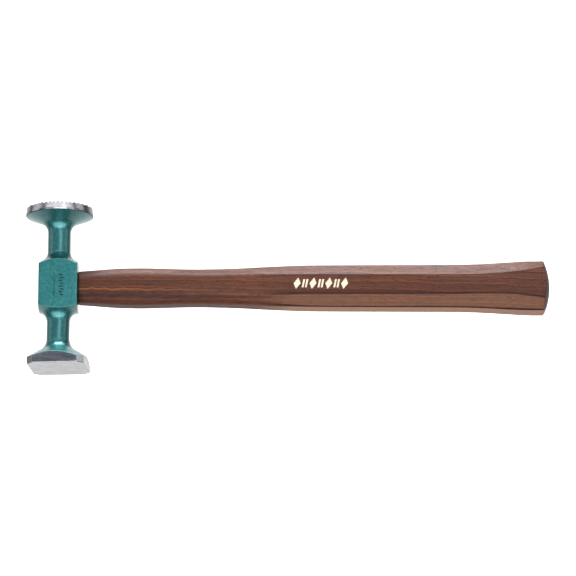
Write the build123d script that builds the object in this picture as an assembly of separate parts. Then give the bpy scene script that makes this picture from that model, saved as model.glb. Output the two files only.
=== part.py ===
from build123d import *
import math
import os

# Panel-beating hammer lying on its side: a slim steel head with a checkered round face and a
# plain square face, wedged on an octagonal wooden handle.
# Millimetres. +X runs from the head to the butt of the handle, +Y along the head towards the
# round face, +Z up. The origin is under the middle of the bounding box, on the floor.

# Head: overall
FACE_Y = 49.2                 # either working face, measured from the handle's centre line
ROUND_FACE_R = 20.4
HANDLE_REACH = 293.5          # butt of the handle, measured from the head's own axis

# Head: round face
TOOTH_RIM_R = 19.9            # radius at the toothed edge
RIM_FOOT_Y = 44.3             # the rim's straight side ends here
RIM_BEVEL = 0.35
RIM_BAND = 0.9                # height of the rim's narrow lower band
RIM_BAND_INSET = 0.25         # how far the band leans in at its foot
ROUND_FLARE_RISE = 0.41       # rise of the cone under the round face, per unit of radius
ROUND_FLARE_FILLET = 7.0
TOOTH_PITCH = 2.4
GROOVE_DEPTH = 1.0
GROOVE_HALF_WIDTH = 0.95
GROOVES = 16

# Head: necks and eye block
NECK_R = 6.85
BLOCK = 23.4                  # square section of the eye block
BLOCK_EDGE_R = 0.8
BLOCK_CORNER_Y = 12.9         # height of the block's corners above and below the handle's centre line
TOP_SHOULDER_RISE = 0.62
TOP_SHOULDER_FILLET = 7.0
BOTTOM_SHOULDER_RISE = 0.35
BOTTOM_SHOULDER_FILLET = 6.8

# Head: square face
SQUARE = 34.3
SQUARE_TURN = -5.6            # degrees that its ground sides are turned from the block's, about +Y
SQUARE_SHIFT = 0.5            # how far they are off centre towards the handle
SQUARE_CORNER = 3.7           # leg of the corner chamfers
SQUARE_EDGE_R = 0.4
SQUARE_FLARE_Y = -42.2        # the flare above the square face passes here at the middle of a side
SQUARE_FLARE_RISE = 0.61
SQUARE_FLARE_FILLET = 8.5

# Eye: an oval that flares towards the outer end, where the wedges spread the tenon
EYE_Y = 17.6
EYE_Z = 13.6
EYE_FLARE = 1.6               # extra width and height at the outer end
EYE_WAIST_X = 2.0             # the flare starts here

# Wedges
WOOD_WEDGE_LENGTH = 17.0
WOOD_WEDGE_THICK = 3.0
WOOD_WEDGE_TIP = 0.6
STEEL_WEDGE_Y = 5.0           # offset of each steel wedge from the handle's centre line
STEEL_WEDGE_LENGTH = 11.0
STEEL_WEDGE_WIDE = 9.0
STEEL_WEDGE_THICK = 2.2
STEEL_WEDGE_TIP = 0.5

# Handle
BUTT_DOME_R = 38.0
BUTT_EDGE_R = 0.7

HEAD_X = (ROUND_FACE_R - HANDLE_REACH) / 2
AXIS_Z = ROUND_FACE_R
HALF_BLOCK = BLOCK / 2
OUTER_END = -HALF_BLOCK

# Handle sections, each at a distance from the head's axis: half height along Y, half
# thickness along Z, how far the side flat reaches up and down along Y, half width of the top
# and bottom flats along Z, and how round the eight corners are, from 0 for a sharp octagon to
# 1 for corners whose arcs use up a whole flat. The grip runs straight between the two lists.
NECK_SECTIONS = [
    (HALF_BLOCK, 9.55, 8.65, 4.8, 4.8, 5.2, 0.7),
    (22.0, 10.2, 9.31, 5.2, 5.2, 5.7, 0.66),
    (34.0, 11.0, 9.96, 5.7, 5.7, 6.2, 0.62),
    (49.0, 11.3, 10.43, 6.0, 6.0, 6.5, 0.6),
    (64.0, 10.95, 10.72, 5.9, 5.9, 6.4, 0.6),
    (79.0, 10.6, 10.86, 5.7, 5.7, 6.2, 0.6),
    (94.0, 10.75, 11.0, 5.7, 5.7, 6.2, 0.58),
    (109.0, 11.2, 11.19, 5.8, 5.8, 6.3, 0.5),
    (124.0, 11.9, 11.37, 5.85, 5.85, 6.35, 0.34),
    (139.0, 12.42, 11.56, 5.8, 5.8, 6.4, 0.16),
    (152.0, 12.72, 11.66, 5.8, 5.8, 6.4, 0.08),
]
FLARE_SECTIONS = [
    (238.0, 13.12, 11.75, 5.8, 5.8, 6.3, 0.08),
    (250.0, 13.42, 11.89, 5.9, 5.55, 6.4, 0.08),
    (260.0, 13.9, 12.13, 6.35, 5.5, 6.6, 0.09),
    (270.0, 14.5, 12.5, 7.15, 5.7, 6.9, 0.11),
    (280.0, 14.95, 12.78, 8.55, 6.8, 7.3, 0.13),
    (HANDLE_REACH + 1.0, 15.0, 12.88, 11.2, 8.9, 7.5, 0.14),
]


def fillet_between_cone_and_neck(cone_r, cone_y, rise, radius, up):
    """Points of a profile that runs from a cone to the neck through an arc.

    The cone passes through (cone_r, cone_y) and climbs towards the neck by rise per unit of
    radius. up is +1 where the neck lies above the cone and -1 where it lies below it.
    Returns the arc's start, its middle and its end on the neck.
    """
    slope = math.atan(rise)
    turn = math.pi / 2 - slope
    start_r = NECK_R + radius * (1 - math.cos(turn))
    start_y = cone_y + up * (cone_r - start_r) * rise
    end_y = start_y + up * radius * math.sin(turn)
    centre_r = NECK_R + radius
    middle = turn / 2
    middle_r = centre_r - radius * math.cos(middle)
    middle_y = end_y - up * radius * math.sin(middle)
    return (start_r, start_y), (middle_r, middle_y), (NECK_R, end_y)


def turned_head():
    """The head as it leaves the lathe, about the Y axis."""
    beyond_r = HALF_BLOCK * math.sqrt(2) + 1.0
    flare_beyond_r = SQUARE / 2 * math.sqrt(2)
    corner_r = HALF_BLOCK * math.sqrt(2) - BLOCK_EDGE_R * (math.sqrt(2) - 1)
    band_foot_r = ROUND_FACE_R - RIM_BAND_INSET
    rim_lip_r = band_foot_r - RIM_BEVEL
    rim_lip_y = RIM_FOOT_Y - RIM_BEVEL

    round_flare = fillet_between_cone_and_neck(
        rim_lip_r, rim_lip_y, ROUND_FLARE_RISE, ROUND_FLARE_FILLET, -1)
    top_shoulder = fillet_between_cone_and_neck(
        corner_r, BLOCK_CORNER_Y, TOP_SHOULDER_RISE, TOP_SHOULDER_FILLET, 1)
    bottom_shoulder = fillet_between_cone_and_neck(
        corner_r, -BLOCK_CORNER_Y, BOTTOM_SHOULDER_RISE, BOTTOM_SHOULDER_FILLET, -1)
    square_flare = fillet_between_cone_and_neck(
        SQUARE / 2, SQUARE_FLARE_Y, SQUARE_FLARE_RISE, SQUARE_FLARE_FILLET, 1)

    top_beyond_y = BLOCK_CORNER_Y - (beyond_r - corner_r) * TOP_SHOULDER_RISE
    bottom_beyond_y = -BLOCK_CORNER_Y + (beyond_r - corner_r) * BOTTOM_SHOULDER_RISE
    flare_beyond_y = SQUARE_FLARE_Y - (flare_beyond_r - SQUARE / 2) * SQUARE_FLARE_RISE

    with BuildPart() as turned:
        with BuildSketch(Plane.XY):
            with BuildLine():
                Polyline((0, FACE_Y), (TOOTH_RIM_R, FACE_Y), (ROUND_FACE_R, RIM_FOOT_Y + RIM_BAND),
                         (band_foot_r, RIM_FOOT_Y), (rim_lip_r, rim_lip_y), round_flare[0])
                ThreePointArc(*round_flare)
                Line(round_flare[2], top_shoulder[2])
                ThreePointArc(top_shoulder[2], top_shoulder[1], top_shoulder[0])
                Polyline(top_shoulder[0], (beyond_r, top_beyond_y), (beyond_r, bottom_beyond_y),
                         bottom_shoulder[0])
                ThreePointArc(*bottom_shoulder)
                Line(bottom_shoulder[2], square_flare[2])
                ThreePointArc(square_flare[2], square_flare[1], square_flare[0])
                Polyline(square_flare[0], (flare_beyond_r, flare_beyond_y),
                         (flare_beyond_r, -FACE_Y), (0, -FACE_Y), (0, FACE_Y))
            make_face()
        revolve(axis=Axis.Y)
    return turned.part


def squared_blank():
    """The envelope that the block's flats and the square face's flats are ground to."""
    neck_top = (RIM_FOOT_Y + BLOCK_CORNER_Y) / 2
    neck_bottom = (SQUARE_FLARE_Y - BLOCK_CORNER_Y) / 2
    round_height = FACE_Y + 1.0 - neck_top
    block_height = neck_top - neck_bottom
    square_height = neck_bottom + FACE_Y

    round_stock = Pos(0, neck_top + round_height / 2, 0) * Rot(90, 0, 0) * Cylinder(
        ROUND_FACE_R + 1.0, round_height)
    block_stock = Pos(0, (neck_top + neck_bottom) / 2, 0) * Box(BLOCK, block_height, BLOCK)
    block_stock = fillet(block_stock.edges().filter_by(Axis.Y), BLOCK_EDGE_R)
    square_stock = Pos(0, neck_bottom - square_height / 2, 0) * Box(SQUARE, square_height, SQUARE)
    square_stock = chamfer(square_stock.edges().filter_by(Axis.Y), SQUARE_CORNER)
    square_stock = fillet(square_stock.faces().sort_by(Axis.Y)[0].edges(), SQUARE_EDGE_R)
    square_stock = Rot(0, SQUARE_TURN, 0) * Pos(SQUARE_SHIFT, 0, 0) * square_stock
    return round_stock + block_stock + square_stock


def face_grooves():
    """V grooves that cross the round face both ways and leave rows of square teeth."""
    reach = ROUND_FACE_R + 2.0
    section = Plane.XY * make_face(Polyline(
        (-GROOVE_HALF_WIDTH - 0.5, FACE_Y + 0.5 * GROOVE_DEPTH / GROOVE_HALF_WIDTH),
        (0, FACE_Y - GROOVE_DEPTH),
        (GROOVE_HALF_WIDTH + 0.5, FACE_Y + 0.5 * GROOVE_DEPTH / GROOVE_HALF_WIDTH),
        close=True))
    groove = extrude(section, amount=reach, both=True)
    offsets = [(i - (GROOVES - 1) / 2) * TOOTH_PITCH for i in range(GROOVES)]
    along_z = [Pos(offset, 0, 0) * groove for offset in offsets]
    along_x = [Pos(0, 0, offset) * Rot(0, 90, 0) * groove for offset in offsets]
    return along_z, along_x


def eye_solid():
    """The space that the eye takes out of the block, which the tenon fills."""
    def oval(x, grow):
        plane = Plane(origin=(x, 0, 0), x_dir=(0, 1, 0), z_dir=(1, 0, 0))
        return plane * Ellipse((EYE_Y + grow) / 2, (EYE_Z + grow) / 2)

    straight = extrude(oval(EYE_WAIST_X, 0), amount=HALF_BLOCK - EYE_WAIST_X)
    flared = loft([oval(OUTER_END, EYE_FLARE), oval(EYE_WAIST_X, 0)], ruled=True)
    return straight + flared


def head():
    along_z, along_x = face_grooves()
    solid = turned_head() & squared_blank()
    solid = solid - eye_solid()
    for groove in along_z + along_x:
        solid = solid - groove
    return solid


def handle_section(distance, half_y, half_z, up, down, flat_z, roundness):
    """A cross-section of the handle: an octagon whose corners are rounded alike."""
    plane = Plane(origin=(distance, 0, 0), x_dir=(0, 1, 0), z_dir=(1, 0, 0))
    corners = [Vector(*corner) for corner in (
        (half_y, -flat_z), (half_y, flat_z), (up, half_z), (-down, half_z),
        (-half_y, flat_z), (-half_y, -flat_z), (-down, -half_z), (up, -half_z))]
    sides = [corners[(i + 1) % 8] - corners[i] for i in range(8)]
    setbacks = [math.tan(math.radians(sides[i - 1].get_angle(sides[i])) / 2) for i in range(8)]
    largest_r = min(sides[i].length / (setbacks[i] + setbacks[(i + 1) % 8]) for i in range(8))
    outline = make_face(Polyline(*corners, close=True))
    return plane * fillet(outline.vertices(), roundness * largest_r)


def wood_wedge_solid():
    """A flat wedge along the eye's long axis, driven in from the outer end."""
    plane = Plane(origin=(0, 0, 0), x_dir=(1, 0, 0), z_dir=(0, -1, 0))
    tip_x = OUTER_END + WOOD_WEDGE_LENGTH
    outline = make_face(Polyline(
        (OUTER_END, -WOOD_WEDGE_THICK / 2), (tip_x, -WOOD_WEDGE_TIP / 2),
        (tip_x, WOOD_WEDGE_TIP / 2), (OUTER_END, WOOD_WEDGE_THICK / 2), close=True))
    return extrude(plane * outline, amount=EYE_Y, both=True) & eye_solid()


def steel_wedge_solid(side):
    """A small flat wedge driven across the wooden one."""
    tip_x = OUTER_END + STEEL_WEDGE_LENGTH
    outline = make_face(Polyline(
        (OUTER_END, -STEEL_WEDGE_THICK / 2), (tip_x, -STEEL_WEDGE_TIP / 2),
        (tip_x, STEEL_WEDGE_TIP / 2), (OUTER_END, STEEL_WEDGE_THICK / 2), close=True))
    wedge = extrude(Plane.XY * outline, amount=STEEL_WEDGE_WIDE / 2, both=True)
    return Pos(0, side * STEEL_WEDGE_Y, 0) * wedge


def handle_blank():
    """The handle outside the head, domed at the butt, with the tenon that fills the eye."""
    neck = loft([handle_section(*row) for row in NECK_SECTIONS])
    grip = loft([handle_section(*NECK_SECTIONS[-1]), handle_section(*FLARE_SECTIONS[0])], ruled=True)
    flare = loft([handle_section(*row) for row in FLARE_SECTIONS])
    shaft = neck + grip + flare
    dome = Pos(HANDLE_REACH - BUTT_DOME_R, 0, 0) * Sphere(BUTT_DOME_R)
    stock_length = HANDLE_REACH - BUTT_DOME_R - HALF_BLOCK
    stock = Pos(HALF_BLOCK + stock_length / 2, 0, 0) * Box(stock_length, 60.0, 60.0)
    shaft = shaft & (stock + dome)
    dome_face = shaft.faces().filter_by(GeomType.SPHERE)[0]
    shaft = fillet(dome_face.edges(), BUTT_EDGE_R)
    return shaft + eye_solid()


def place(solid):
    return Pos(HEAD_X, 0, AXIS_Z) * solid


def main():
    os.makedirs("parts", exist_ok=True)
    steel_wedges = {"steel_wedge_upper": steel_wedge_solid(1), "steel_wedge_lower": steel_wedge_solid(-1)}
    wood_wedge = wood_wedge_solid()
    handle = handle_blank() - wood_wedge
    for steel_wedge in steel_wedges.values():
        wood_wedge = wood_wedge - steel_wedge
        handle = handle - steel_wedge
    pieces = {"hammer_head": head(), "handle": handle, "wood_wedge": wood_wedge, **steel_wedges}
    for name, piece in pieces.items():
        export_step(place(piece), f"parts/{name}.step")


main()
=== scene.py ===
import math

import bmesh
import bpy
from mathutils import Matrix, Vector


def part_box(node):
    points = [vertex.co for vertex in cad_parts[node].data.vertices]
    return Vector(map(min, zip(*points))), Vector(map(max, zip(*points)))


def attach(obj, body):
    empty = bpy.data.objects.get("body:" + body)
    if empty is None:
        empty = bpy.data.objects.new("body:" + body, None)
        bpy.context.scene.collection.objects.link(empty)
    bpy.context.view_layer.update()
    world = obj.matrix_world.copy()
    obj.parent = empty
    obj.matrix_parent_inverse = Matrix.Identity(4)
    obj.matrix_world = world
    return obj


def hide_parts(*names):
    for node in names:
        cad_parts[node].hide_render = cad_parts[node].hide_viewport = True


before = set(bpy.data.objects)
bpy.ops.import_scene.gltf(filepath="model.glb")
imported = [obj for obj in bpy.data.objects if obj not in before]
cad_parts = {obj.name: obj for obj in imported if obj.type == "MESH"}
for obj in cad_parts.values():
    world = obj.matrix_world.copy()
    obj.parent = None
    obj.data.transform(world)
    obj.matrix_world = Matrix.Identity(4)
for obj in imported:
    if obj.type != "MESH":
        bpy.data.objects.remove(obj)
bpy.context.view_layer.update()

MM = 0.001
HEAD_LOW, HEAD_HIGH = (Vector(corner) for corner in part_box("hammer_head"))
# The head's axis crosses the handle's centre line here. Shapes are written in millimetres from it.
CENTRE = (HEAD_LOW + HEAD_HIGH) / 2
FACE_Y = (HEAD_HIGH.y - HEAD_LOW.y) / 2 / MM
ROUND_R = (HEAD_HIGH.x - HEAD_LOW.x) / 2 / MM
REACH = (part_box("handle")[1][0] - CENTRE.x) / MM
HALF_BLOCK = (CENTRE.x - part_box("handle")[0][0]) / MM

# Head. A rise is how far a slope climbs or falls for each millimetre nearer the axis.
TOOTH_RIM_R = 19.9
TOOTH_EDGE_R = 0.12
RIM_FOOT_Y = 44.3
RIM_BEVEL = 0.35
RIM_BAND = 0.9
RIM_BAND_INSET = 0.25
RIM_EDGE_R = 0.15
RIM_FOOT_R = 0.10
RIM_LIP_R = 0.12
ROUND_FLARE_RISE = 0.41
NECK_R = 6.85
NECK_FILLETS = {"round": 7.0, "top": 7.0, "bottom": 6.8, "square": 8.5}
BLOCK_CORNER_Y = 12.9
TOP_RISE = 0.62
BOTTOM_RISE = 0.35
BLOCK_EDGE_R = 0.8
SHOULDER_EDGE_R = 0.35
# The square face. SQUARE_CORNER is what a chamfer takes off each side. The face is turned about the head's
# axis and set SQUARE_SHIFT nearer the butt.
HALF_SQUARE = 17.15
SQUARE_CORNER = 3.7
SQUARE_CORNER_R = 0.4
SQUARE_TURN = math.radians(-5.6)
SQUARE_SHIFT = 0.5
SQUARE_FLARE_Y = -42.2
SQUARE_RISE = 0.61
SQUARE_FLARE_R = 0.25
SQUARE_EDGE_R = 0.4
# The grooves that leave the round face's teeth.
TOOTH_PITCH = 2.4
GROOVES = 16
GROOVE_DEPTH = 1.0
GROOVE_HALF_WIDTH = 0.95
# Corners of the head's profile, counted from 1 at the round face.
BAND_FOOT_CORNER = 3
FIRST_PAINTED_CORNER = 4
FIRST_TURNED_CORNER = 10
LAST_PAINTED_CORNER = 11
# The forging's materials, in order; the last is the near-black line of painted shade under the rim's lip.
PAINT, BARE_STEEL, PAINTED_SHADE_LINE = range(3)

# Eye, tenon and wedges
EYE_HALF_Y = 8.8
EYE_HALF_Z = 6.8
EYE_FLARE = 0.8
EYE_WAIST_X = 2.0
OVAL_POINTS = 64
TENON_PROUD = 0.08
KERF_SLACK = 0.06
KERF_CUT_PROUD = 1.0
WOOD_WEDGE_PROUD = 0.15
WOOD_WEDGE_LENGTH = 17.0
WOOD_WEDGE_THICK = 3.0
WOOD_WEDGE_TIP = 0.6
WOOD_WEDGE_INSET = 0.5
STEEL_WEDGE_Y = 5.0
STEEL_WEDGE_PROUD = 0.25
STEEL_WEDGE_LENGTH = 11.0
STEEL_WEDGE_THICK = 2.2
STEEL_WEDGE_TIP = 0.5
STEEL_WEDGE_WIDE = 9.0
STEEL_WEDGE_EDGE_R = 0.18

# Handle sections from the head to the butt: distance from the head's axis, half height along Y,
# half thickness along Z, the side flat's reach up and down, half width of the top flat, roundness.
SECTIONS = [
    (HALF_BLOCK, 9.55, 8.65, 4.8, 4.8, 5.2, 0.7),
    (22.0, 10.2, 9.31, 5.2, 5.2, 5.7, 0.66),
    (34.0, 11.0, 9.96, 5.7, 5.7, 6.2, 0.62),
    (49.0, 11.3, 10.43, 6.0, 6.0, 6.5, 0.6),
    (64.0, 10.95, 10.72, 5.9, 5.9, 6.4, 0.6),
    (79.0, 10.6, 10.86, 5.7, 5.7, 6.2, 0.6),
    (94.0, 10.75, 11.0, 5.7, 5.7, 6.2, 0.58),
    (109.0, 11.2, 11.19, 5.8, 5.8, 6.3, 0.5),
    (124.0, 11.9, 11.37, 5.85, 5.85, 6.35, 0.34),
    (139.0, 12.42, 11.56, 5.8, 5.8, 6.4, 0.16),
    (152.0, 12.72, 11.66, 5.8, 5.8, 6.4, 0.08),
    (195.0, 12.92, 11.7, 5.8, 5.8, 6.35, 0.08),
    (238.0, 13.12, 11.75, 5.8, 5.8, 6.3, 0.08),
    (250.0, 13.42, 11.89, 5.9, 5.55, 6.4, 0.08),
    (260.0, 13.9, 12.13, 6.35, 5.5, 6.6, 0.09),
    (270.0, 14.5, 12.5, 7.15, 5.7, 6.9, 0.11),
    (280.0, 14.95, 12.78, 8.55, 6.8, 7.3, 0.13),
    (REACH + 1.0, 15.0, 12.88, 11.2, 8.9, 7.5, 0.14),
]
# How dark the wood is along each ridge and across the flat that follows it, round the section from the
# far top ridge. Negative is pale.
RIDGE_TONES = (0.3, 0.3, 0.5, 0.85, 0.9, 0.9, 0.85, 0.5)
# The flat tones are painted light and painted shade: the top flat, the lower chamfers and the bottom flat
# paler, the upper chamfers and the side flats towards their lower ridge darker.
FLAT_TONES = ((-0.1, -0.1), (0.1, 0.1), (0.0, 0.4), (-0.14, -0.14),
              (-0.58, -0.58), (-0.14, -0.14), (0.4, 0.0), (0.1, 0.1))
BUTT_TONE = 0.45
# The tones are full up to a roundness of SHARP_BELOW and gone from SOFT_ABOVE.
SHARP_BELOW = 0.15
SOFT_ABOVE = 0.4
RIDGE_WIDTH = 0.45
WIDEST_RIDGE_SHARE = 0.2
RIDGE_STEPS = 5
FLAT_STEPS = 6
# The rings at the shoulder: distance past the block's side, and scale.
SHOULDER_SINK = 0.05
SHOULDER_RINGS = [(-SHOULDER_SINK, 0.925), (0.15, 0.955), (0.45, 0.98), (1.0, 0.995)]
# How far from the butt's end the shaft's rings stop, the butt takes its section, and it rests on the floor.
BUTT_START = 9.0
BUTT_SECTION = 3.2
BUTT_REST = 5.0
BUTT_DOME_R = 38.0
BUTT_DOME_SHARES = (0.75, 0.6, 0.45, 0.3, 0.15)
BUTT_EDGE_R = 0.7
BUTT_EDGE_STEPS = 5
ROW_STEP = 2.0

# The gap in metres that is closed after cuts, and the turns in degrees above which an edge stays sharp.
WELD_GAP = 0.001 * MM
SHARP_TURN = 30.0
HEAD_SHARP_TURN = 32.0
HANDLE_SHARP_TURN = 35.0
WORN_SHARP_TURN = 40.0


# ---------------------------------------------------------------- shapes

def rounded(points, radii, steps):
    """The open line through points, with each inner corner turned into an arc.

    Returns (position, label) pairs. A label is the number of the corner that a point belongs to.
    """
    line = [(Vector(points[0]), 0)]
    for number, (radius, count) in enumerate(zip(radii, steps), start=1):
        corner = Vector(points[number])
        back = (Vector(points[number - 1]) - corner).normalized()
        ahead = (Vector(points[number + 1]) - corner).normalized()
        half = back.angle(ahead) / 2
        centre = corner + (back + ahead).normalized() * radius / math.sin(half)
        start = corner + back * radius / math.tan(half) - centre
        sweep = math.pi - 2 * half
        side = 1 if back.x * ahead.y - back.y * ahead.x < 0 else -1
        for step in range(count + 1):
            turn = Matrix.Rotation(side * sweep * step / count, 2)
            line.append((centre + turn @ start, number))
    line.append((Vector(points[-1]), len(points) - 1))
    return line


def polygon_corners(sides, radius):
    """Each rounded corner of a convex polygon: its arc's centre and the angles where it begins and ends.

    sides lists the outward angle of each side and its distance from the middle.
    """
    corners = []
    for (angle, distance), (next_angle, next_distance) in zip(sides, sides[1:] + sides[:1]):
        outward = Vector((math.cos(angle), math.sin(angle)))
        next_outward = Vector((math.cos(next_angle), math.sin(next_angle)))
        inner_distances = Vector((distance - radius, next_distance - radius))
        centre = Matrix((outward, next_outward)).inverted() @ inner_distances
        begin = centre + radius * outward
        end = centre + radius * next_outward
        corners.append((centre, math.atan2(begin.y, begin.x), math.atan2(end.y, end.x)))
    return corners


def polygon_reach(angle, sides, corners, radius):
    """How far the rounded polygon's outline is from its middle in one direction."""
    edge_on = 0.1
    for centre, begin, end in corners:
        across = (end - begin) % math.tau
        if 0 <= (angle - begin) % math.tau <= across:
            off = angle - math.atan2(centre.y, centre.x)
            far = centre.length
            return far * math.cos(off) + math.sqrt(radius ** 2 - (far * math.sin(off)) ** 2)
    return min(distance / math.cos(angle - outward) for outward, distance in sides
               if math.cos(angle - outward) > edge_on)


def column_angles(corner_sets):
    """Directions round the head's axis, close together where a corner turns."""
    corner_steps = 6
    coarse_count = 144
    least_gap = 0.35
    fine = []
    for corners in corner_sets:
        for _, begin, end in corners:
            across = (end - begin) % math.tau
            fine += [(begin + across * step / corner_steps) % math.tau for step in range(corner_steps + 1)]
    coarse_step = math.tau / coarse_count
    gap = coarse_step * least_gap
    kept = []
    for number in range(coarse_count):
        angle = coarse_step * number
        if all(abs((angle - near + math.pi) % math.tau - math.pi) > gap for near in fine):
            kept.append(angle)
    return sorted(kept + fine)


def mesh_object(name, vertices, faces, materials, indices=None, sharp_turn=SHARP_TURN):
    """A mesh in the row frame from vertices in millimetres around the head's centre."""
    mesh = bpy.data.meshes.new(name)
    mesh.from_pydata([CENTRE + Vector(v) * MM for v in vertices], [], faces)
    for material in materials:
        mesh.materials.append(material)
    if indices:
        mesh.polygons.foreach_set("material_index", indices)
    piece = bpy.data.objects.new(name, mesh)
    bpy.context.collection.objects.link(piece)
    sharpen(piece, sharp_turn)
    return piece


def sharpen(piece, sharp_turn):
    """Turns the faces outward and shades them smooth, except at edges that turn by more than sharp_turn."""
    work = bmesh.new()
    work.from_mesh(piece.data)
    bmesh.ops.recalc_face_normals(work, faces=work.faces)
    for face in work.faces:
        face.smooth = True
    for edge in work.edges:
        edge.smooth = edge.calc_face_angle(0.0) < math.radians(sharp_turn)
    work.to_mesh(piece.data)
    work.free()


def bridge(rings):
    """The vertices of some rings of equal length, and faces between the rings and over both ends."""
    count = len(rings[0])
    vertices = [vertex for ring in rings for vertex in ring]
    faces = []
    for row in range(len(rings) - 1):
        here, ahead = row * count, (row + 1) * count
        for i in range(count):
            j = (i + 1) % count
            faces.append((here + i, here + j, ahead + j, ahead + i))
    faces.append(tuple(reversed(range(count))))
    faces.append(tuple(range((len(rings) - 1) * count, len(rings) * count)))
    return vertices, faces


def cut(piece, cutter):
    """Takes cutter out of piece and deletes it."""
    modifier = piece.modifiers.new("cut", "BOOLEAN")
    modifier.operation = "DIFFERENCE"
    modifier.solver = "EXACT"
    modifier.material_mode = "TRANSFER"
    modifier.object = cutter
    apply_modifier(piece, modifier)
    bpy.data.objects.remove(cutter)


def weld(piece):
    """Closes the hairline cracks that cuts leave where several edges nearly meet."""
    work = bmesh.new()
    work.from_mesh(piece.data)
    bmesh.ops.remove_doubles(work, verts=work.verts, dist=WELD_GAP)
    work.to_mesh(piece.data)
    work.free()


def apply_modifier(piece, modifier):
    """Turns a modifier's result into the piece's own mesh."""
    with bpy.context.temp_override(object=piece, active_object=piece, selected_objects=[piece]):
        bpy.ops.object.modifier_apply(modifier=modifier.name)


def keep_weighted_normals(piece):
    """Lets large flat faces set the shading, so that narrow rounded edges catch the light."""
    modifier = piece.modifiers.new("flat faces", "WEIGHTED_NORMAL")
    modifier.keep_sharp = True
    modifier.weight = 80


def prisms(name, outlines, material):
    """One mesh of separate prisms. Each outline is a pair of matching lists of vertices, its two ends."""
    vertices = []
    faces = []
    for start, end in outlines:
        base = len(vertices)
        ring_vertices, ring_faces = bridge([start, end])
        vertices += ring_vertices
        faces += [tuple(base + i for i in face) for face in ring_faces]
    return mesh_object(name, vertices, faces, [material])


# ---------------------------------------------------------------- materials

def fill_ramp(node, stops):
    """Gives a colour ramp its stops, as (position, colour) pairs."""
    elements = node.color_ramp.elements
    while len(elements) < len(stops):
        elements.new(0.5)
    for element, (position, colour) in zip(elements, stops):
        element.position = position
        element.color = (*colour, 1.0)


class Graph:
    """A material under construction: node() adds a node and links any input given as a socket."""

    def __init__(self, name):
        self.material = bpy.data.materials.new(name)
        self.material.use_nodes = True
        self.tree = self.material.node_tree
        self.shader = self.tree.nodes["Principled BSDF"]

    def node(self, kind, inputs=None, **settings):
        node = self.tree.nodes.new(kind)
        for key, value in settings.items():
            setattr(node, key, value)
        for key, value in (inputs or {}).items():
            self.put(node.inputs[key], value)
        return node

    def put(self, socket, value):
        if isinstance(value, bpy.types.NodeSocket):
            self.tree.links.new(value, socket)
        else:
            socket.default_value = value

    def finish(self, **inputs):
        for key, value in inputs.items():
            self.put(self.shader.inputs[key.replace("_", " ")], value)
        return self.material

    def position(self):
        """The row frame's coordinates, in metres."""
        return self.node("ShaderNodeTexCoord").outputs["Object"]

    def stretched(self, scale):
        """The row frame's coordinates, for a noise with so many waves to the metre along each axis."""
        mapping = self.node("ShaderNodeMapping", {"Vector": self.position(), "Scale": scale})
        return mapping.outputs["Vector"]

    def noise(self, vector, scale=1.0, detail=2.0, rough=0.5):
        node = self.node("ShaderNodeTexNoise", {
            "Vector": vector, "Scale": scale, "Detail": detail, "Roughness": rough})
        return node.outputs["Fac"]

    def math(self, operation, first, second=0.0, third=0.0):
        node = self.node("ShaderNodeMath", operation=operation)
        for socket, value in zip(node.inputs, (first, second, third)):
            self.put(socket, value)
        return node.outputs[0]

    def remap(self, value, low, high, to_low=0.0, to_high=1.0):
        """Takes low to to_low and high to to_high, and holds what lies beyond them at the nearer one."""
        node = self.node("ShaderNodeMapRange", {
            "Value": value, "From Min": low, "From Max": high, "To Min": to_low, "To Max": to_high})
        return node.outputs["Result"]

    def ramp(self, value, stops):
        node = self.node("ShaderNodeValToRGB", {"Fac": value})
        fill_ramp(node, stops)
        return node.outputs["Color"]

    def mix(self, factor, first, second):
        node = self.node("ShaderNodeMix", data_type="RGBA")
        self.put(node.inputs[0], factor)
        for socket, value in zip((node.inputs[6], node.inputs[7]), (first, second)):
            self.put(socket, (*value, 1.0) if isinstance(value, tuple) else value)
        return node.outputs[2]

    def bump(self, height, depth, strength=1.0, normal=None):
        """A bumped normal, with depth in millimetres."""
        inputs = {"Height": height, "Distance": depth * MM, "Strength": strength}
        if normal is not None:
            inputs["Normal"] = normal
        return self.node("ShaderNodeBump", inputs).outputs["Normal"]


def enamel():
    """Teal enamel with fine metallic flake and a slightly rippled surface."""
    deep, middle, flake = (0.013, 0.116, 0.118), (0.022, 0.162, 0.165), (0.042, 0.224, 0.227)
    dull = (0.008, 0.136, 0.139)
    paint = Graph("teal_enamel")
    where = paint.position()
    ripple = paint.noise(where, scale=1100.0, detail=3.0, rough=0.65)
    mottle = paint.noise(where, scale=700.0, detail=4.0, rough=0.75)
    cloud = paint.noise(where, scale=60.0, detail=2.0)
    colour = paint.ramp(mottle, [(0.32, deep), (0.5, middle), (0.68, flake)])
    colour = paint.mix(paint.remap(cloud, 0.35, 0.65, 0.0, 0.25), colour, dull)
    rough = paint.remap(mottle, 0.3, 0.7, 0.38, 0.48)
    normal = paint.bump(ripple, 0.04, 0.5)
    return paint.finish(Base_Color=colour, Metallic=0.85, Roughness=rough, Normal=normal, IOR=1.5,
                        Coat_Weight=0.9, Coat_Roughness=0.16)


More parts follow.
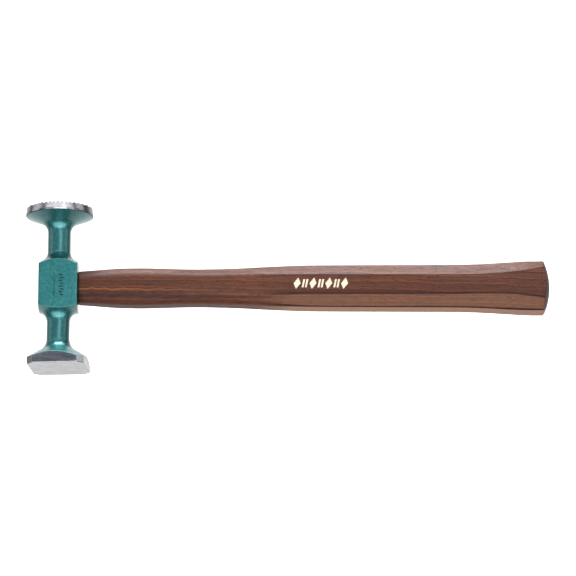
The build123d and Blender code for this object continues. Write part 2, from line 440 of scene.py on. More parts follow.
def ground_steel():
    """Bare steel, ground and then polished: fine parallel scratches, slight clouding."""
    dark, pale, scored = (0.34, 0.345, 0.365), (0.46, 0.46, 0.475), (0.21, 0.215, 0.24)
    steel = Graph("ground_steel")
    scratch = steel.noise(steel.stretched((70.0, 5200.0, 3600.0)), detail=3.0, rough=0.65)
    broad = steel.noise(steel.stretched((30.0, 900.0, 700.0)), detail=2.0)
    cloud = steel.noise(steel.position(), scale=140.0, detail=3.0)
    colour = steel.ramp(cloud, [(0.3, dark), (0.7, pale)])
    colour = steel.mix(steel.remap(scratch, 0.35, 0.65, 0.0, 0.4), colour, scored)
    fine_rough = steel.remap(scratch, 0.3, 0.7, 0.14, 0.25)
    rough = steel.math("ADD", fine_rough, steel.remap(broad, 0.3, 0.7, -0.04, 0.06))
    normal = steel.bump(scratch, 0.02, 0.5)
    normal = steel.bump(broad, 0.04, 0.3, normal)
    return steel.finish(Base_Color=colour, Roughness=rough, Normal=normal, Metallic=1.0)


def groove_steel_painted_shade():
    """Steel in the bottom of the cut serrations, rougher than the ground faces, and darker as painted shade
    in the grooves.
    """
    steel = Graph("groove_steel_painted_shade")
    cloud = steel.noise(steel.position(), scale=900.0, detail=3.0, rough=0.6)
    colour = steel.ramp(cloud, [(0.3, (0.07, 0.072, 0.078)), (0.7, (0.17, 0.172, 0.18))])
    return steel.finish(Base_Color=colour, Roughness=0.45, Metallic=1.0)


def lip_and_stamp_shade():
    """Dull, nearly black: the enamel's edge at bare steel with painted shade under the rim's lip, and painted
    shade in the stamp.
    """
    line = Graph("painted_shade_line")
    cloud = line.noise(line.position(), scale=700.0, detail=2.0)
    colour = line.ramp(cloud, [(0.3, (0.004, 0.022, 0.026)), (0.7, (0.012, 0.050, 0.054))])
    return line.finish(Base_Color=colour, Roughness=0.85, IOR=1.3)


def dull_steel():
    """Wedge steel: darker, with scale and hammer marks."""
    scale, middle, worn = (0.16, 0.155, 0.15), (0.33, 0.33, 0.33), (0.45, 0.45, 0.45)
    steel = Graph("wedge_steel")
    cloud = steel.noise(steel.position(), scale=900.0, detail=4.0, rough=0.6)
    colour = steel.ramp(cloud, [(0.3, scale), (0.55, middle), (0.75, worn)])
    rough = steel.remap(cloud, 0.3, 0.7, 0.60, 0.34)
    return steel.finish(Base_Color=colour, Roughness=rough, Normal=steel.bump(cloud, 0.08, 0.5), Metallic=1.0)


def hickory():
    """Oiled reddish brown wood, its grain along the handle."""
    wood = Graph("handle_wood")
    split = wood.node("ShaderNodeSeparateXYZ", {"Vector": wood.position()})
    along, up, out = (split.outputs[axis] for axis in "XYZ")
    fibre = wood.noise(wood.stretched((130.0, 3800.0, 3800.0)), detail=3.0, rough=0.7)
    pores = wood.noise(wood.stretched((330.0, 2600.0, 2600.0)), detail=1.0, rough=0.4)
    pore = wood.remap(pores, 0.58, 0.68)

    colour = grain_colour(wood, year_rings(wood, up, out), fibre, pore)
    colour = ridge_tones(wood, colour)
    colour = tones_near_head(wood, colour, along, up)

    height = wood.math("SUBTRACT", wood.math("MULTIPLY", fibre, 0.6), pore)
    rough = wood.remap(fibre, 0.3, 0.7, 0.40, 0.54)
    return wood.finish(Base_Color=colour, Roughness=rough, Normal=wood.bump(height, 0.10, 0.6), IOR=1.24)


def year_rings(wood, up, out):
    """A level that swings once for each year's growth, round a pith that lies outside the handle."""
    pith_up, pith_out = -60.0 * MM, -24.0 * MM
    years_per_metre = 300.0
    season = [(0.0, 0.30), (0.10, 1.0), (0.35, 0.62), (0.80, 0.40), (0.95, 0.0), (1.0, 0.30)]
    sway = wood.noise(wood.stretched((9.0, 6.0, 6.0)), detail=2.0, rough=0.45)
    ripple = wood.noise(wood.stretched((60.0, 130.0, 130.0)), detail=2.0, rough=0.5)
    from_pith = wood.node("ShaderNodeCombineXYZ", {
        "X": wood.math("SUBTRACT", up, pith_up), "Y": wood.math("SUBTRACT", out, pith_out)})
    distance = wood.node("ShaderNodeVectorMath", {0: from_pith.outputs["Vector"]}, operation="LENGTH")
    years = wood.math("MULTIPLY", distance.outputs["Value"], years_per_metre)
    years = wood.math("MULTIPLY_ADD", sway, 2.2, years)
    years = wood.math("MULTIPLY_ADD", ripple, 0.35, years)
    return wood.ramp(wood.math("FRACT", years), [(share, (level, level, level)) for share, level in season])


def grain_colour(wood, rings, fibre, pore):
    """Streaks along the grain, with year rings, grey clouds, pale fibres and dark pores mixed over them."""
    dark, middle, pale = (0.046, 0.010, 0.004), (0.078, 0.020, 0.008), (0.125, 0.038, 0.016)
    late_wood, early_wood = (0.020, 0.006, 0.004), (0.190, 0.078, 0.038)
    grey_brown, pale_fibre, open_pore = (0.055, 0.027, 0.022), (0.150, 0.068, 0.045), (0.012, 0.004, 0.003)
    streak = wood.noise(wood.stretched((14.0, 800.0, 800.0)), detail=5.0, rough=0.65)
    cloud = wood.noise(wood.stretched((26.0, 110.0, 110.0)), detail=3.0, rough=0.6)
    colour = wood.ramp(streak, [(0.30, dark), (0.5, middle), (0.70, pale)])
    colour = wood.mix(wood.remap(rings, 0.42, 0.0, 0.0, 0.60), colour, late_wood)
    colour = wood.mix(wood.remap(rings, 0.70, 1.0, 0.0, 0.45), colour, early_wood)
    colour = wood.mix(wood.remap(cloud, 0.38, 0.64, 0.0, 0.35), colour, grey_brown)
    colour = wood.mix(wood.remap(fibre, 0.42, 0.66, 0.0, 0.35), colour, pale_fibre)
    return wood.mix(wood.math("MULTIPLY", pore, 0.70), colour, open_pore)


def ridge_tones(wood, colour):
    """Darkens and pales the wood by the mesh's tone attribute: dark ridge lines, painted shade and painted
    light.
    """
    # The dark colour draws the ridge lines and painted shade on the flats; the pale colour is painted light
    # on the flats.
    dark_ridges_and_painted_shade, painted_light_on_flats = (0.018, 0.003, 0.002), (0.40, 0.205, 0.115)
    tone = wood.node("ShaderNodeAttribute", attribute_name="tone").outputs["Fac"]
    colour = wood.mix(wood.remap(tone, 0.0, 1.0), colour, dark_ridges_and_painted_shade)
    return wood.mix(wood.remap(tone, 0.0, -1.0), colour, painted_light_on_flats)


def tones_near_head(wood, colour, along, up):
    """Painted shade on the wood towards the head, a pale and a dark streak side by side, and a painted
    contact shadow in a ring at the eye.

    The mask called outside keeps all of them off the tenon. Distances are in metres.
    """
    shaded, painted_contact_shadow = (0.014, 0.005, 0.004), (0.006, 0.003, 0.003)
    pale, dark = (0.250, 0.088, 0.030), (0.022, 0.004, 0.003)
    streak_up, streak_slope, streak_sway = -0.0038, -0.020, 0.0030
    dark_below = 0.0036
    shoulder = HALF_BLOCK * MM + CENTRE.x
    outside = wood.remap(along, shoulder - 0.004, shoulder - 0.002)
    # Painted shade on the wood near the head, where the block shades it.
    shade = wood.remap(along, shoulder, shoulder + 0.10, 0.42, 0.0)
    colour = wood.mix(wood.math("MULTIPLY", shade, outside), colour, shaded)

    wander = wood.noise(wood.stretched((150.0, 0.0, 0.0)), detail=2.0)
    middle = wood.math("MULTIPLY_ADD", wander, streak_sway, streak_up)
    middle = wood.math("MULTIPLY_ADD", wood.math("SUBTRACT", along, shoulder), streak_slope, middle)
    aside = wood.math("SUBTRACT", up, middle)
    fade = wood.remap(along, shoulder + 0.110, shoulder + 0.020)
    near_head = wood.math("MULTIPLY", outside, fade)
    pale_streak = wood.remap(wood.math("ABSOLUTE", aside), 0.0008, 0.0001, 0.0, 0.55)
    colour = wood.mix(wood.math("MULTIPLY", pale_streak, near_head), colour, pale)
    from_dark = wood.math("ABSOLUTE", wood.math("ADD", aside, dark_below))
    dark_streak = wood.remap(from_dark, 0.0018, 0.0003, 0.0, 0.70)
    colour = wood.mix(wood.math("MULTIPLY", dark_streak, near_head), colour, dark)

    # A painted contact shadow: a thin dark ring where the handle meets the block.
    contact_shadow_mask = wood.remap(along, shoulder + 0.0002, shoulder + 0.0013, 1.0, 0.0)
    return wood.mix(wood.math("MULTIPLY", contact_shadow_mask, outside), colour, painted_contact_shadow)


def wedge_wood():
    """Pale end grain of a hardwood wedge."""
    dark, pale, banded = (0.28, 0.16, 0.08), (0.52, 0.36, 0.21), (0.30, 0.18, 0.10)
    wood = Graph("wedge_wood")
    fibre = wood.noise(wood.stretched((200.0, 2600.0, 5200.0)), detail=3.0, rough=0.6)
    band = wood.noise(wood.stretched((100.0, 180.0, 1500.0)), detail=2.0)
    colour = wood.ramp(fibre, [(0.3, dark), (0.7, pale)])
    colour = wood.mix(wood.remap(band, 0.35, 0.65, 0.0, 0.4), colour, banded)
    return wood.finish(Base_Color=colour, Roughness=0.7, Normal=wood.bump(fibre, 0.12, 0.6))


def cream_ink():
    """Cream printing ink that has sunk a little into the grain."""
    sunk, thin, full = (0.36, 0.26, 0.16), (0.56, 0.49, 0.36), (0.64, 0.58, 0.44)
    ink = Graph("cream_ink")
    grain = ink.noise(ink.stretched((120.0, 3600.0, 3600.0)), detail=3.0, rough=0.6)
    colour = ink.ramp(grain, [(0.28, sunk), (0.42, thin), (0.6, full)])
    return ink.finish(Base_Color=colour, Roughness=0.5, Normal=ink.bump(grain, 0.05, 0.5))


def floor_paint():
    """Pale studio floor that glows like a lit table, so that shadows on it stay faint."""
    floor = Graph("pale_floor")
    cloud = floor.noise(floor.position(), scale=6.0, detail=2.0)
    colour = floor.ramp(cloud, [(0.3, (0.76, 0.76, 0.76)), (0.7, (0.79, 0.79, 0.79))])
    return floor.finish(Base_Color=colour, Roughness=0.9, Emission_Color=(1.0, 1.0, 1.0, 1.0),
                        Emission_Strength=0.8)


# ---------------------------------------------------------------- head

def head_profile(block_r, square_r):
    """The head's outline in one half plane through its axis, as (radius, height) from face to face."""
    band_foot_r = ROUND_R - RIM_BAND_INSET
    lip_r = band_foot_r - RIM_BEVEL
    lip_y = RIM_FOOT_Y - RIM_BEVEL
    corner_r = HALF_BLOCK * math.sqrt(2) - BLOCK_EDGE_R * (math.sqrt(2) - 1)
    # Each corner's distance from the axis and height, the radius that rounds it, and the steps of its arc.
    corners = [
        (TOOTH_RIM_R, FACE_Y, TOOTH_EDGE_R, 2),
        (ROUND_R, RIM_FOOT_Y + RIM_BAND, RIM_EDGE_R, 3),
        (band_foot_r, RIM_FOOT_Y, RIM_FOOT_R, 2),
        (lip_r, lip_y, RIM_LIP_R, 2),
        (NECK_R, lip_y - (lip_r - NECK_R) * ROUND_FLARE_RISE, NECK_FILLETS["round"], 12),
        (NECK_R, BLOCK_CORNER_Y + (corner_r - NECK_R) * TOP_RISE, NECK_FILLETS["top"], 12),
        (block_r, BLOCK_CORNER_Y + (corner_r - block_r) * TOP_RISE, SHOULDER_EDGE_R, 4),
        (block_r, -BLOCK_CORNER_Y - (corner_r - block_r) * BOTTOM_RISE, SHOULDER_EDGE_R, 4),
        (NECK_R, -BLOCK_CORNER_Y - (corner_r - NECK_R) * BOTTOM_RISE, NECK_FILLETS["bottom"], 12),
        (NECK_R, SQUARE_FLARE_Y + (HALF_SQUARE - NECK_R) * SQUARE_RISE, NECK_FILLETS["square"], 14),
        (square_r, SQUARE_FLARE_Y - (square_r - HALF_SQUARE) * SQUARE_RISE, SQUARE_FLARE_R, 3),
        (square_r, -FACE_Y, SQUARE_EDGE_R, 7),
    ]
    points = [(0.0, FACE_Y), *(corner[:2] for corner in corners), (0.0, -FACE_Y)]
    _, _, radii, steps = zip(*corners)
    return rounded(points, radii, steps)


def square_face_sides():
    """The square face's sides and corner chamfers, as (outward angle, distance from the neck's axis)."""
    chamfer = (2 * HALF_SQUARE - SQUARE_CORNER) / math.sqrt(2)
    sides = []
    for eighth in range(8):
        outward = eighth * math.pi / 4
        distance = chamfer if eighth % 2 else HALF_SQUARE
        sides.append((outward, distance + SQUARE_SHIFT * math.sin(outward)))
    return sides


def band_material(label, next_label):
    """Which of the forging's materials lies between two rings, given the corners that they belong to."""
    if label == BAND_FOOT_CORNER and next_label == FIRST_PAINTED_CORNER:
        return PAINTED_SHADE_LINE
    if label == next_label == FIRST_PAINTED_CORNER:
        return BARE_STEEL
    return PAINT if FIRST_PAINTED_CORNER <= label and next_label <= LAST_PAINTED_CORNER else BARE_STEEL


def turned_and_ground_head(materials):
    """The head without teeth, eye and stamp: a turned form whose block and square face are ground flat."""
    block_sides = [(quarter * math.pi / 2, HALF_BLOCK) for quarter in range(4)]
    square_sides = square_face_sides()
    block_corners = polygon_corners(block_sides, BLOCK_EDGE_R)
    square_corners = polygon_corners(square_sides, SQUARE_CORNER_R)

    columns = []
    for angle in column_angles([block_corners, square_corners]):
        block_r = polygon_reach(angle, block_sides, block_corners, BLOCK_EDGE_R)
        square_r = polygon_reach(angle, square_sides, square_corners, SQUARE_CORNER_R)
        columns.append((angle, head_profile(block_r, square_r)[1:-1]))

    labels = [label for _, label in columns[0][1]]
    rings = []
    for row, label in enumerate(labels):
        turn = SQUARE_TURN if label >= FIRST_TURNED_CORNER else 0.0
        ring = []
        for angle, profile in columns:
            radius, height = profile[row][0]
            ring.append((radius * math.sin(angle + turn), height, radius * math.cos(angle + turn)))
        rings.append(ring)
    vertices, faces = bridge(rings)
    indices = []
    for label, next_label in zip(labels, labels[1:]):
        indices += [band_material(label, next_label)] * len(columns)
    indices += [BARE_STEEL] * 2
    return mesh_object("hammer_head_forging", vertices, faces, materials, indices)


def groove_cutter(along_x, material):
    """V-shaped bars that cross the round face side by side."""
    slope = GROOVE_DEPTH / GROOVE_HALF_WIDTH
    over = 0.5
    half_length = ROUND_R + 1.0
    section = [(-GROOVE_HALF_WIDTH - over, FACE_Y + over * slope), (0.0, FACE_Y - GROOVE_DEPTH),
               (GROOVE_HALF_WIDTH + over, FACE_Y + over * slope)]
    outlines = []
    for number in range(GROOVES):
        place = (number - (GROOVES - 1) / 2) * TOOTH_PITCH
        ends = []
        for end in (-half_length, half_length):
            if along_x:
                ends.append([(end, height, place + across) for across, height in section])
            else:
                ends.append([(place + across, height, end) for across, height in section])
        outlines.append(ends)
    return prisms("groove_cutter", outlines, material)


def oval(x, grow):
    """A ring of the eye's oval at distance x along the handle."""
    ring = []
    for number in range(OVAL_POINTS):
        angle = math.tau * number / OVAL_POINTS
        ring.append((x, (EYE_HALF_Y + grow) * math.sin(angle), (EYE_HALF_Z + grow) * math.cos(angle)))
    return ring


def eye_cutter(material):
    """The eye: straight where the handle enters, flared to the far end, with a countersunk mouth."""
    clearance = 0.04
    mouth = 0.45
    beyond = 1.0
    rings = [oval(HALF_BLOCK + beyond, clearance), oval(EYE_WAIST_X, clearance),
             oval(-HALF_BLOCK + mouth, EYE_FLARE + clearance),
             oval(-HALF_BLOCK, EYE_FLARE + mouth), oval(-HALF_BLOCK - beyond, EYE_FLARE + mouth + beyond)]
    vertices, faces = bridge(rings)
    return mesh_object("eye_cutter", vertices, faces, [material])


def sunk(outline):
    """The two ends of a stamped mark: its outline above the cheek, and a smaller one at its bottom."""
    depth = 0.45
    draft = 0.10
    middle_x = sum(x for x, _ in outline) / len(outline)
    middle_y = sum(y for _, y in outline) / len(outline)
    inner = []
    for x, y in outline:
        pull = 1 - draft / math.hypot(x - middle_x, y - middle_y)
        inner.append((middle_x + (x - middle_x) * pull, middle_y + (y - middle_y) * pull, HALF_BLOCK - depth))
    return [(x, y, HALF_BLOCK + depth) for x, y in outline], inner


def stamp_cutter(material):
    """A stamped ornament on the cheek: a column of bars beside a column of punch dots."""
    bars, first_bar_y, bar_pitch, half_bar = 8, 5.6, 1.75, 0.36
    bar_ends = ((0.6, 3.0), (1.2, 3.6))
    dots, first_dot_y, dot_pitch = 11, 5.9, 1.3
    dot_x, dot_r, dot_sides = -2.3, 0.42, 8
    outlines = []
    for number in range(bars):
        y = first_bar_y - number * bar_pitch
        low, high = bar_ends[number % 2]
        below, above = y - half_bar, y + half_bar
        outlines.append(sunk([(low, below), (high, below), (high, above), (low, above)]))
    angles = [math.tau * side / dot_sides for side in range(dot_sides)]
    for number in range(dots):
        y = first_dot_y - number * dot_pitch
        outlines.append(sunk([(dot_x + dot_r * math.cos(a), y + dot_r * math.sin(a)) for a in angles]))
    return prisms("stamp_cutter", outlines, material)


def build_head(paint, steel, dark, grooves):
    head = turned_and_ground_head([paint, steel, dark])
    for along_x in (True, False):
        cut(head, groove_cutter(along_x, grooves))
    cut(head, eye_cutter(paint))
    # The dark material also paints shade into the stamp's recess.
    cut(head, stamp_cutter(dark))
    weld(head)
    sharpen(head, HEAD_SHARP_TURN)
    keep_weighted_normals(head)
    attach(head, "root")
    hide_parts("hammer_head")
    return head


# ---------------------------------------------------------------- handle

def section_at(x):
    """The handle's section at distance x: a row of SECTIONS without its distance, smoothly interpolated."""
    last = len(SECTIONS) - 1
    i = max(n for n in range(last) if SECTIONS[n][0] <= x or n == 0)
    before, start, end, after = (SECTIONS[min(max(n, 0), last)] for n in (i - 1, i, i + 1, i + 2))
    span = end[0] - start[0]
    t = (x - start[0]) / span
    values = []
    for a, b, c, d in list(zip(before, start, end, after))[1:]:
        start_slope = (c - a) / (end[0] - before[0]) * span
        end_slope = (d - b) / (after[0] - start[0]) * span
        values.append((2 * t ** 3 - 3 * t ** 2 + 1) * b + (t ** 3 - 2 * t ** 2 + t) * start_slope
                      + (3 * t ** 2 - 2 * t ** 3) * c + (t ** 3 - t ** 2) * end_slope)
    return values


def section_ring(x, scale=1.0):
    """One ring of the handle: (y, z, tone) points. Tone is up to 1 where the wood is dark, -1 where pale."""
    half_y, half_z, up, down, flat_z, roundness = section_at(x)
    corners = [Vector(c) for c in (
        (half_y, -flat_z), (half_y, flat_z), (up, half_z), (-down, half_z),
        (-half_y, flat_z), (-half_y, -flat_z), (-down, -half_z), (up, -half_z))]
    sides = [corners[(n + 1) % 8] - corners[n] for n in range(8)]
    setbacks = [math.tan(sides[n - 1].angle(sides[n]) / 2) for n in range(8)]
    radius = roundness * min(sides[n].length / (setbacks[n] + setbacks[(n + 1) % 8]) for n in range(8))
    closed = corners[-1:] + corners + corners[:1]
    line = rounded(closed, [radius] * 8, [RIDGE_STEPS] * 8)[1:-1]
    crisp = min(max((SOFT_ABOVE - roundness) / (SOFT_ABOVE - SHARP_BELOW), 0.0), 1.0)
    points = []
    for n, (place, label) in enumerate(line):
        points.append((place.x * scale, place.y * scale, crisp * RIDGE_TONES[label - 1]))
        following, next_label = line[(n + 1) % len(line)]
        if next_label != label:
            start_tone, end_tone = (tone * crisp for tone in FLAT_TONES[label - 1])
            points += flat_between(place, following, scale, start_tone, end_tone)
    return points


def flat_between(start, end, scale, start_tone, end_tone):
    """Points across one flat, with one close to each ridge so that the ridge's tone stays narrow."""
    near = min(RIDGE_WIDTH / (end - start).length, WIDEST_RIDGE_SHARE)
    between = [near + (1 - 2 * near) * step / FLAT_STEPS for step in range(1, FLAT_STEPS)]
    shares = [near, *between, 1 - near]
    flat = []
    for share in shares:
        place = start.lerp(end, share)
        flat.append((place.x * scale, place.y * scale, start_tone + (end_tone - start_tone) * share))
    return flat


def dome_point(reach, share):
    """A point of the butt's dome at a share of the section's reach: distance from the centre line, and x."""
    return Vector((reach * share, REACH - BUTT_DOME_R + math.sqrt(BUTT_DOME_R ** 2 - (reach * share) ** 2)))


def butt_rings():
    """Rings from the end of the shaft over the rounded edge and the dome to the middle of the butt."""
    edge_share = 0.97
    last_row = REACH - BUTT_START
    columns = []
    for (y0, z0, _), (y1, z1, tone) in zip(section_ring(last_row), section_ring(REACH - BUTT_SECTION)):
        reach = math.hypot(y1, z1)
        outline = [(math.hypot(y0, z0), last_row), dome_point(reach, 1.0), dome_point(reach, 0.9)]
        profile = [place for place, _ in rounded(outline, [BUTT_EDGE_R], [BUTT_EDGE_STEPS])[1:]]
        profile += [dome_point(reach, share) for share in BUTT_DOME_SHARES]
        columns.append([(x, y1 / reach * r, z1 / reach * r, tone if r > edge_share * reach else BUTT_TONE)
                        for r, x in profile])
    return [list(ring) for ring in zip(*columns)]


def shaft_rings():
    """Rings from the shoulder at the head to the start of the butt."""
    rings = []
    for past, scale in SHOULDER_RINGS:
        x = HALF_BLOCK + past
        rings.append([(x, y, z, tone) for y, z, tone in section_ring(x, scale)])
    x = HALF_BLOCK + ROW_STEP
    while x <= REACH - BUTT_START:
        rings.append([(x, y, z, tone) for y, z, tone in section_ring(x)])
        x += ROW_STEP
    return rings


def tenon_rings(first_ring):
    """The tenon, from its end in the eye to the shoulder, with as many points as the shaft's first ring."""
    stations = [(-HALF_BLOCK - TENON_PROUD, EYE_FLARE), (EYE_WAIST_X, 0.0), (HALF_BLOCK - SHOULDER_SINK, 0.0)]
    rings = []
    for x, grow in stations:
        half_y, half_z = EYE_HALF_Y + grow, EYE_HALF_Z + grow
        ring = []
        for _, y, z, _ in first_ring:
            angle = math.atan2(y, z)
            reach = 1 / math.hypot(math.sin(angle) / half_y, math.cos(angle) / half_z)
            ring.append((x, reach * math.sin(angle), reach * math.cos(angle), 0.0))
        rings.append(ring)
    return rings


def wedge_ends(length, thick, tip, wide, proud):
    """Two matching rectangles of a wedge that tapers in thickness: its driven end and its tip.

    Each corner is (distance along the handle, offset across the thickness, offset across the width).
    """
    start = -HALF_BLOCK - proud
    end = -HALF_BLOCK + length
    signs = [(-1, -1), (1, -1), (1, 1), (-1, 1)]
    return ([(start, a * thick / 2, b * wide / 2) for a, b in signs],
            [(end, a * tip / 2, b * wide / 2) for a, b in signs])


def wood_wedge_outline(slack, proud):
    """The wooden wedge along the eye's long axis, or its kerf where there is slack."""
    wide = 2 * (EYE_HALF_Y + EYE_FLARE) - WOOD_WEDGE_INSET
    ends = wedge_ends(WOOD_WEDGE_LENGTH, WOOD_WEDGE_THICK + slack, WOOD_WEDGE_TIP + slack, wide, proud)
    return [[(x, across, thick) for x, thick, across in end] for end in ends]


def steel_wedge_outline(side, slack, proud):
    """One steel wedge across the wooden one, or its kerf where there is slack."""
    ends = wedge_ends(STEEL_WEDGE_LENGTH, STEEL_WEDGE_THICK + slack, STEEL_WEDGE_TIP + slack,
                      STEEL_WEDGE_WIDE + slack, proud)
    return [[(x, side * STEEL_WEDGE_Y + thick, across) for x, thick, across in end] for end in ends]


def cut_cross_kerfs(piece, material):
    """Takes the kerfs of both steel wedges out of a piece."""
    outlines = [steel_wedge_outline(side, KERF_SLACK, KERF_CUT_PROUD) for side in (1, -1)]
    cut(piece, prisms("cross_cutter", outlines, material))


def build_handle(wood):
    shaft = shaft_rings() + butt_rings()
    rings = tenon_rings(shaft[0]) + shaft
    tones = [tone for ring in rings for _, _, _, tone in ring]
    vertices, faces = bridge([[point[:3] for point in ring] for ring in rings])
    handle = mesh_object("handle_shaft", vertices, faces, [wood], sharp_turn=HANDLE_SHARP_TURN)
    attribute = handle.data.attributes.new("tone", "FLOAT", "POINT")
    attribute.data.foreach_set("value", tones)
    cut(handle, prisms("kerf_cutter", [wood_wedge_outline(KERF_SLACK, KERF_CUT_PROUD)], wood))
    cut_cross_kerfs(handle, wood)
    sharpen(handle, HANDLE_SHARP_TURN)
    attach(handle, "root")
    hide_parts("handle")
    return handle


def soften_edges(piece, width):
    """Rounds every sharp edge over a width in millimetres."""
    bevel = piece.modifiers.new("worn edges", "BEVEL")
    bevel.width = width * MM
    bevel.segments = 3
    bevel.limit_method = "ANGLE"
    apply_modifier(piece, bevel)
    sharpen(piece, WORN_SHARP_TURN)


def build_wedges(wood, steel):
    wooden = prisms("wood_wedge_piece", [wood_wedge_outline(0.0, WOOD_WEDGE_PROUD)], wood)
    cut_cross_kerfs(wooden, wood)
    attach(wooden, "root")
    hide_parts("wood_wedge")
    for side, where in ((1, "upper"), (-1, "lower")):
        outline = steel_wedge_outline(side, 0.0, STEEL_WEDGE_PROUD)
        wedge = prisms(f"steel_wedge_{where}_piece", [outline], steel)
        soften_edges(wedge, STEEL_WEDGE_EDGE_R)
        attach(wedge, "root")
        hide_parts(f"steel_wedge_{where}")


def build_mark(ink):
    """A printed ornament on the side flat: diamonds and pairs of bars in turn, all leaning one way."""
    start, end, low, high = 139.8, 172.8, -3.2, 3.8
    lift, thickness = 0.012, 0.05
    slant = 0.2
    bar_offset, half_bar = 0.95, 0.55
    signs = 7
    step = (end - start) / signs
    middle_y = (low + high) / 2
    shapes = []
    for number in range(signs):
        middle_x = start + (number + 0.5) * step
        if number % 2 == 0:
            wide, tall = step * 0.44, (high - low) / 2
            shapes.append([(middle_x, middle_y + tall), (middle_x - wide, middle_y),
                           (middle_x, middle_y - tall), (middle_x + wide, middle_y)])
        else:
            for offset in (-bar_offset, bar_offset):
                tall = (high - low) * 0.36
                left, right = middle_x + offset - half_bar, middle_x + offset + half_bar
                shapes.append([(left, middle_y + tall), (left, middle_y - tall),
                               (right, middle_y - tall), (right, middle_y + tall)])
    outlines = []
    for shape in shapes:
        leaning = [(x + (y - low) * slant, y) for x, y in shape]
        outlines.append([[(x, y, section_at(x)[1] + rise) for x, y in leaning]
                         for rise in (lift, lift + thickness)])
    mark = prisms("printed_ornament", outlines, ink)
    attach(mark, "root")


# ---------------------------------------------------------------- studio

CAMERA_DISTANCE = 3.4
CAMERA_LENS = 355.1
CAMERA_PITCH = math.radians(-14.2)
CAMERA_YAW = math.radians(-0.95)
AIM_FROM_HEAD = Vector((137.2, 0.30, 0.0)) * MM
FLOOR_HALF = 3.0
# Each softbox: its name, the direction that it stands in, its distance, its width and height in metres, and
# its power in watts.
LIGHTS = [
    ("key", (0.0, -0.40, 1.0), 1.25, (0.90, 0.45), 4.2),
    ("near", (0.0, -0.72, 0.69), 1.0, (2.2, 1.0), 20.0),
    ("top", (0.16, 0.24, 0.96), 1.3, (0.50, 0.66), 2.4),
    ("far_top", (0.0, 0.64, 1.0), 1.4, (2.7, 0.34), 5.4),
    ("far_side", (0.0, 1.0, 0.15), 1.3, (1.0, 0.45), 50.0),
    ("fill_left", (-0.80, 0.25, 0.53), 1.2, (0.7, 0.6), 0.30),
    ("fill_right", (0.80, 0.25, 0.53), 1.2, (0.7, 0.6), 0.30),
    ("left", (-1.0, 0.28, 0.07), 1.2, (1.2, 0.62), 2.3),
    ("right", (1.0, 0.30, 0.20), 1.2, (1.2, 0.62), 2.2),
]
# How bright the surroundings are from straight below, 0, over the horizon, 0.5, to straight above, 1.
SURROUNDINGS = [
    (0.0, (1.15, 1.15, 1.14)),
    (0.12, (0.95, 0.95, 0.94)),
    (0.32, (0.12, 0.12, 0.123)),
    (0.5, (0.12, 0.12, 0.123)),
    (0.75, (0.17, 0.17, 0.18)),
    (0.92, (0.19, 0.21, 0.25)),
    (1.0, (0.19, 0.21, 0.25)),
]


def add_camera():
    """The camera looks down on the cheek, a little from the side of the square face."""
    turn = Matrix.Rotation(CAMERA_YAW, 3, "Y") @ Matrix.Rotation(CAMERA_PITCH, 3, "X")
    back = turn.transposed()
    place = CENTRE + back @ (AIM_FROM_HEAD + Vector((0.0, 0.0, CAMERA_DISTANCE)))
    data = bpy.data.cameras.new("camera")
    data.lens = CAMERA_LENS
    data.sensor_width = 36.0
    data.clip_end = 20.0
    camera = bpy.data.objects.new("camera", data)
    camera.matrix_world = Matrix.Translation(place) @ back.to_4x4()
    bpy.context.collection.objects.link(camera)
    bpy.context.scene.camera = camera


def add_light(name, direction, distance, size, power):
    """A rectangular softbox at some distance in one direction, facing the hammer."""
    data = bpy.data.lights.new(name, "AREA")
    data.shape = "RECTANGLE"
    data.size, data.size_y = size
    data.energy = power
    light = bpy.data.objects.new(name, data)
    light.location = Vector(direction).normalized() * distance + Vector((0.0, 0.0, CENTRE.z))
    light.rotation_euler = (-Vector(direction)).to_track_quat("-Z", "Y").to_euler()
    light.visible_camera = False
    bpy.context.collection.objects.link(light)


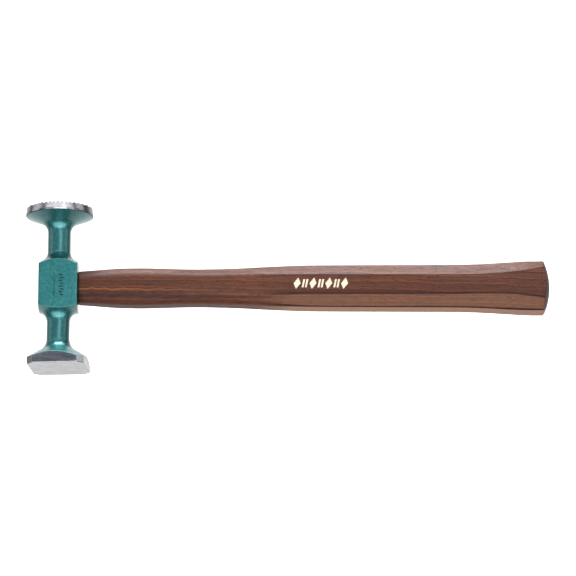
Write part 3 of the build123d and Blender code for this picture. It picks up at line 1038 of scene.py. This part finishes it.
def add_world():
    """Soft light from all round: bright from below, as over a lit table, and dim from the horizon up."""
    world = bpy.data.worlds.new("studio")
    world.use_nodes = True
    tree = world.node_tree
    background = tree.nodes["Background"]
    where = tree.nodes.new("ShaderNodeTexCoord")
    split = tree.nodes.new("ShaderNodeSeparateXYZ")
    ramp = tree.nodes.new("ShaderNodeValToRGB")
    tree.links.new(where.outputs["Generated"], split.inputs["Vector"])
    height = tree.nodes.new("ShaderNodeMapRange")
    height.inputs["From Min"].default_value = -1.0
    tree.links.new(split.outputs["Z"], height.inputs["Value"])
    tree.links.new(height.outputs["Result"], ramp.inputs["Fac"])
    tree.links.new(ramp.outputs["Color"], background.inputs["Color"])
    fill_ramp(ramp, SURROUNDINGS)
    background.inputs["Strength"].default_value = 1.0
    bpy.context.scene.world = world


def resting_plane():
    """The plane that the hammer lies on, as a point and an upward normal.

    It passes through the rim of the round face, a corner of the square face and an edge of the butt.
    """
    rim = Vector((0.0, RIM_FOOT_Y, -ROUND_R))
    corner_x = SQUARE_CORNER - HALF_SQUARE + SQUARE_SHIFT
    square = Matrix.Rotation(SQUARE_TURN, 3, "Y") @ Vector((corner_x, SQUARE_EDGE_R - FACE_Y, -HALF_SQUARE))
    butt_x = REACH - BUTT_REST
    _, half_z, _, down, _, _ = section_at(butt_x)
    butt = Vector((butt_x, -down, -half_z))
    normal = (butt - rim).cross(square - rim).normalized()
    if normal.z < 0:
        normal.negate()
    return CENTRE + rim * MM, normal


def add_floor(material, pieces):
    """The floor that the hammer rests on, moved until it only just touches the pieces' lowest vertex."""
    middle, normal = resting_plane()
    drop = min((vertex.co - middle).dot(normal) for piece in pieces for vertex in piece.data.vertices)
    middle += normal * drop
    along = Vector((1.0, 0.0, 0.0)) - normal * normal.x
    along.normalize()
    across = normal.cross(along)
    signs = [(-1, -1), (1, -1), (1, 1), (-1, 1)]
    corners = [middle + along * a * FLOOR_HALF + across * b * FLOOR_HALF for a, b in signs]
    mesh = bpy.data.meshes.new("floor")
    mesh.from_pydata(corners, [], [(0, 1, 2, 3)])
    mesh.materials.append(material)
    floor = bpy.data.objects.new("floor", mesh)
    floor.visible_diffuse = False
    floor.visible_glossy = False
    bpy.context.collection.objects.link(floor)


add_camera()
head = build_head(enamel(), ground_steel(), lip_and_stamp_shade(), groove_steel_painted_shade())
handle = build_handle(hickory())
build_wedges(wedge_wood(), dull_steel())
build_mark(cream_ink())
add_floor(floor_paint(), [head, handle])
add_world()
for light in LIGHTS:
    add_light(*light)
bpy.context.scene.view_settings.view_transform = "Standard"
